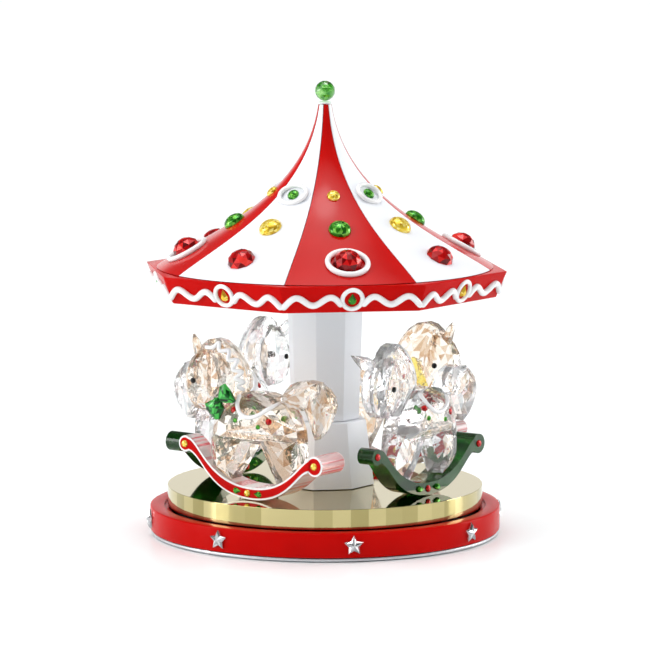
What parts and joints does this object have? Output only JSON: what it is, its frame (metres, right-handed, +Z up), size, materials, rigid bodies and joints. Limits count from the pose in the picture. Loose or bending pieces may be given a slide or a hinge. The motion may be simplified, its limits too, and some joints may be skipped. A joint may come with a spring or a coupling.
{
  "type": "carousel music box",
  "caption": "Carousel music box: crystal rocking horses circle a white column under a striped tent roof, on a turntable driven by a clockwork comb movement in a round base.",
  "frame": {"origin": "centre of the base's underside, on the floor and on the turntable's axis", "axes": "+Z up along the turntable's axis, -Y towards the front red roof panel, +X to its right"},
  "size_m": [0.1756, 0.1756, 0.2207],
  "materials": {
    "red_lacquer": "deep glossy lacquer",
    "white_enamel": "smooth satin-gloss enamel",
    "gold_plate": "mirror-polished pale gold plating",
    "silver_trim": "polished",
    "spring_steel": "nickel-plated, satin",
    "movement_brass": "satin",
    "foot_rubber": "matte",
    "plate_plastic": "fine moulded texture",
    "star_crystal": "foil-backed faceted crystal",
    "clear_crystal": "polished facets",
    "champagne_crystal": "polished facets, peach tint",
    "green_crystal": "polished facets, deep green",
    "yellow_crystal": "polished facets, yellow",
    "rocker_red": "crystal with a red lacquered face",
    "rocker_green": "polished dark green glass"
  },
  "bodies": {
    "base": {"base_ring": "red_lacquer", "base_trim_ring": "silver_trim", "foot_ring": "foot_rubber", "bottom_plate": "plate_plastic", "movement_bracket": "spring_steel", "comb_bedplate": "movement_brass", "comb": "spring_steel", "comb_screw_1": "spring_steel", "comb_screw_2": "spring_steel", "spindle_bearing": "movement_brass", "star_stone_1": "star_crystal", "star_stone_2": "star_crystal", "star_stone_3": "star_crystal", "star_stone_4": "star_crystal", "star_stone_5": "star_crystal", "star_stone_6": "star_crystal", "star_stone_7": "star_crystal", "star_stone_8": "star_crystal"},
    "turntable": {"turntable_disc": "gold_plate", "drive_spindle": "movement_brass", "column_lower": "white_enamel", "column_upper": "white_enamel", "roof_rim": "red_lacquer", "roof_soffit": "white_enamel", "finial_collar": "white_enamel", "finial_ball": "green_crystal", "roof_panel_1": "red_lacquer", "roof_panel_2": "white_enamel", "roof_panel_3": "red_lacquer", "roof_panel_4": "white_enamel", "roof_panel_5": "red_lacquer", "roof_panel_6": "white_enamel", "roof_panel_7": "red_lacquer", "roof_panel_8": "white_enamel", "horse_1_body": "champagne_crystal", "horse_1_head": "champagne_crystal", "horse_1_tail": "champagne_crystal", "horse_1_rocker": "rocker_red", "horse_2_body": "clear_crystal", "horse_2_head": "clear_crystal", "horse_2_tail": "clear_crystal", "horse_2_rocker": "rocker_green", "horse_3_body": "champagne_crystal", "horse_3_head": "champagne_crystal", "horse_3_tail": "champagne_crystal", "horse_3_rocker": "rocker_red", "horse_4_body": "clear_crystal", "horse_4_head": "clear_crystal", "horse_4_tail": "clear_crystal", "horse_4_rocker": "rocker_green", "horse_1_bow": "green_crystal", "horse_3_bow": "yellow_crystal"},
    "key": {"winding_key": "spring_steel"},
    "barrel": {"spring_barrel": "spring_steel", "barrel_gear": "movement_brass", "mainspring": "spring_steel"},
    "cylinder": {"music_cylinder": "movement_brass", "crown_wheel": "movement_brass", "cylinder_wheel": "movement_brass"},
    "governor": {"governor_fan": "spring_steel"}
  },
  "joints": [
    {"name": "turntable_turn", "type": "hinge", "parent": "base", "child": "turntable", "pos_m": [0, 0, 0.0143], "axis": [0, 0, 1], "continuous": true},
    {"name": "key_wind", "type": "hinge", "parent": "base", "child": "key", "pos_m": [-0.02, 0, 0.005], "axis": [0, 0, 1], "range_deg": [0, 1890]},
    {"name": "barrel_spin", "type": "hinge", "parent": "base", "child": "barrel", "pos_m": [-0.02, 0, 0.012], "axis": [0, 0, 1], "continuous": true},
    {"name": "cylinder_spin", "type": "hinge", "parent": "base", "child": "cylinder", "pos_m": [-0.0475, 0, 0.0132], "axis": [1, 0, 0], "continuous": true},
    {"name": "governor_spin", "type": "hinge", "parent": "base", "child": "governor", "pos_m": [-0.0475, -0.0072, 0.0132], "axis": [1, 0, 0], "continuous": true}
  ],
  "couplings": [
    {"joint": "barrel_spin", "follows": "turntable_turn", "ratio": -0.66667},
    {"joint": "cylinder_spin", "follows": "turntable_turn", "ratio": -1.6667},
    {"joint": "governor_spin", "follows": "turntable_turn", "ratio": 5.8333}
  ]
}
